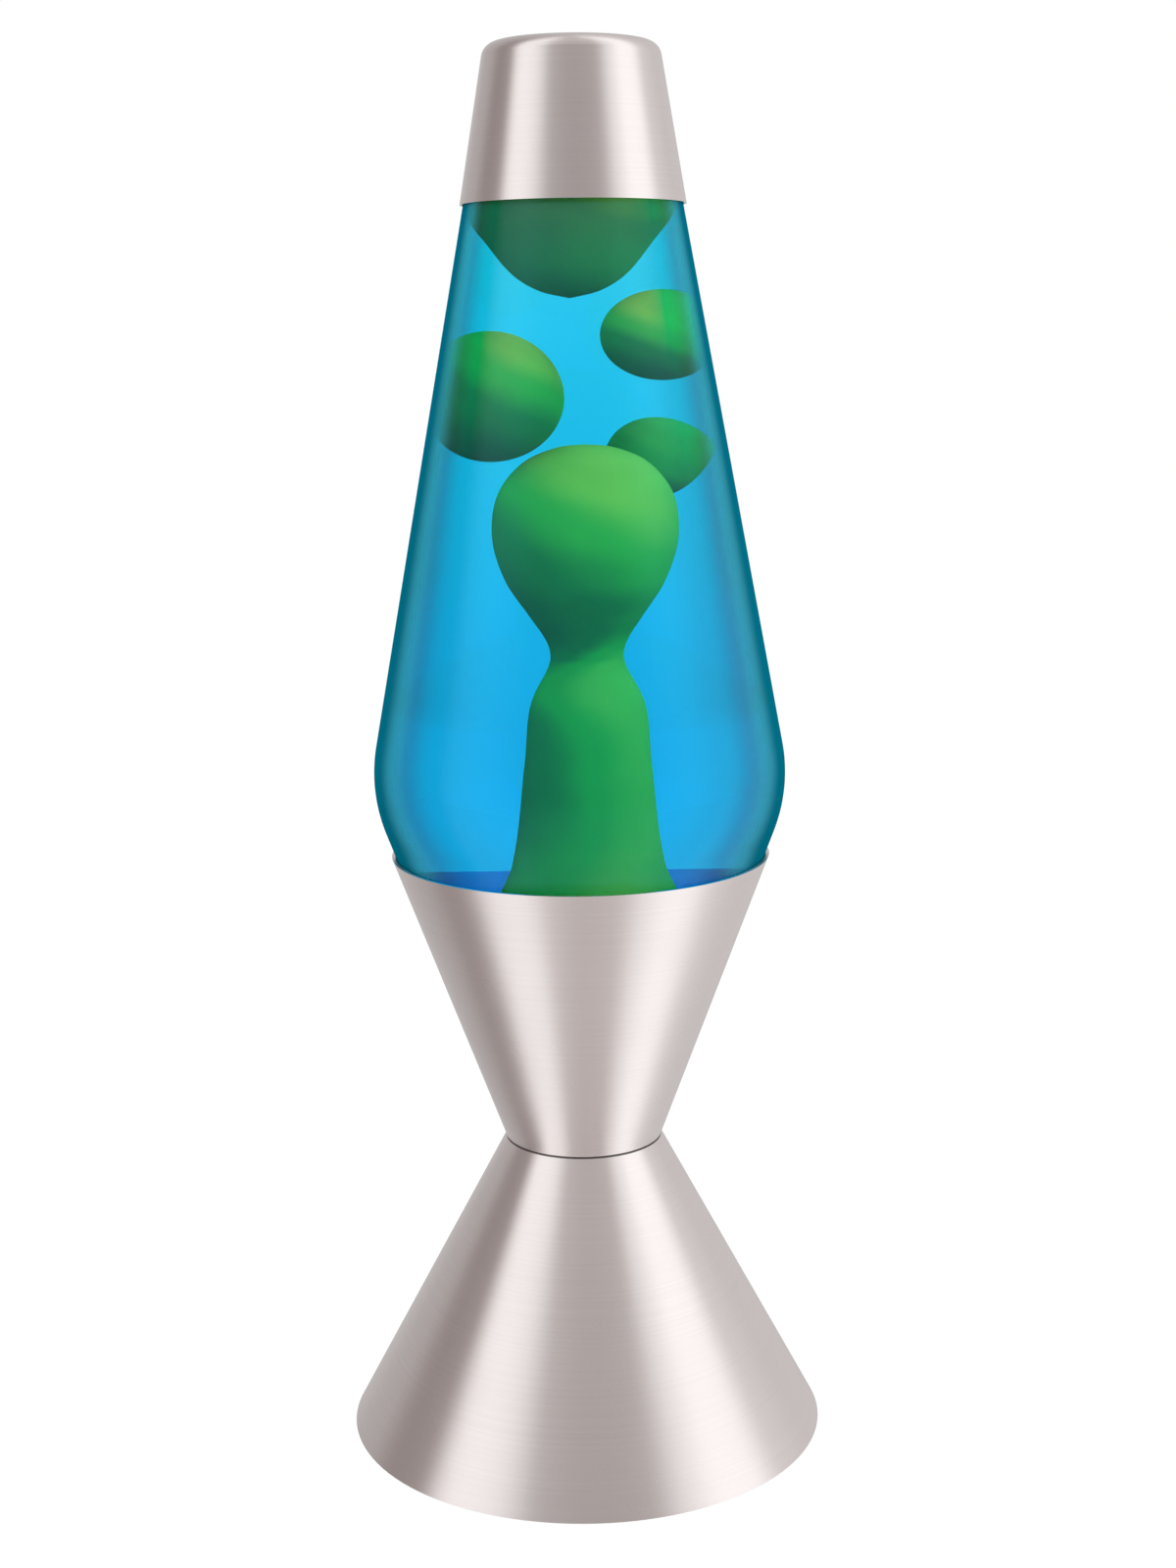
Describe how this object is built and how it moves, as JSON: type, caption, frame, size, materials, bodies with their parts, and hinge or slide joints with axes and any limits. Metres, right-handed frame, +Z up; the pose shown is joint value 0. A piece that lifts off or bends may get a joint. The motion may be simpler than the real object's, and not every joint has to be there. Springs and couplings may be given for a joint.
{
  "type": "lava lamp",
  "caption": "Hourglass spun-metal base and tapered cap around a conical glass bottle of blue liquid and green wax.",
  "frame": {"origin": "on the lamp's axis, at the surface that the feet stand on", "axes": "+Z up along the axis of the base, bottle and cap; -Y is the front and the flex inlet is at the right rear"},
  "size_m": [0.1516, 0.1516, 0.432],
  "materials": {
    "spun_aluminium": "satin",
    "fibre_washer": "matte",
    "holder_moulding": "satin",
    "holder_brass": "satin",
    "plated_steel": "satin",
    "plate_paint": "satin",
    "black_rubber": "matte",
    "bulb_envelope": "gloss",
    "bulb_cap_metal": "satin",
    "bulb_solder": "satin",
    "bulb_button": "gloss",
    "bulb_wire": "satin",
    "bottle_glass": "gloss",
    "blue_liquid": "gloss",
    "green_wax": "satin",
    "coil_wire": "satin",
    "crown_metal": "satin",
    "crown_seal": "matte"
  },
  "bodies": {
    "base": {"lower_cone": "spun_aluminium", "upper_cone": "spun_aluminium", "waist_washer": "fibre_washer", "lampholder_body": "holder_moulding", "lampholder_ring": "holder_moulding", "screw_shell": "holder_brass", "centre_contact": "holder_brass", "terminal_screws": "holder_brass", "lamp_pipe": "plated_steel", "pipe_washer": "plated_steel", "plate_nut": "plated_steel", "bottom_plate": "plate_paint", "foot_1": "black_rubber", "foot_2": "black_rubber", "foot_3": "black_rubber", "foot_4": "black_rubber", "flex_grommet": "black_rubber"},
    "bulb_tip": {"bulb_contact": "bulb_solder"},
    "bulb": {"bulb_insulator": "bulb_button", "bulb_screw_cap": "bulb_cap_metal", "bulb_glass": "bulb_envelope", "bulb_stem": "bulb_envelope", "bulb_lead_wires": "bulb_wire", "bulb_filament": "bulb_wire"},
    "bottle": {"glass_bottle": "bottle_glass", "blue_liquid": "blue_liquid", "wire_coil": "coil_wire", "wax_column": "green_wax", "wax_top_pool": "green_wax", "crown_cap": "crown_metal", "crown_liner": "crown_seal"},
    "cap": {"top_cap": "spun_aluminium"},
    "left_blob": {"wax_blob_left": "green_wax"},
    "right_blob": {"wax_blob_right": "green_wax"},
    "small_blob": {"wax_blob_small": "green_wax"}
  },
  "joints": [
    {"name": "bottle_lift", "type": "slide", "parent": "base", "child": "bottle", "axis": [0, 0, 1], "range_m": [0, 0.08]},
    {"name": "cap_lift", "type": "slide", "parent": "bottle", "child": "cap", "axis": [0, 0, 1], "range_m": [0, 0.06]},
    {"name": "bulb_lift", "type": "slide", "parent": "base", "child": "bulb_tip", "axis": [0, 0, 1], "range_m": [0, 0.0114]},
    {"name": "bulb_turn", "type": "hinge", "parent": "bulb_tip", "child": "bulb", "pos_m": [0, 0, 0.077], "axis": [0, 0, 1], "range_deg": [0, 1440]},
    {"name": "left_blob_rise", "type": "slide", "parent": "bottle", "child": "left_blob", "axis": [0, 0, 1], "range_m": [-0.001, 0.005]},
    {"name": "right_blob_rise", "type": "slide", "parent": "bottle", "child": "right_blob", "axis": [0, 0, 1], "range_m": [-0.006, 0.003]},
    {"name": "small_blob_rise", "type": "slide", "parent": "bottle", "child": "small_blob", "axis": [0, 0, 1], "range_m": [-0.002, 0.002]}
  ],
  "couplings": [
    {"joint": "bulb_lift", "follows": "bulb_turn", "m_per_rad": 0.00044913}
  ]
}
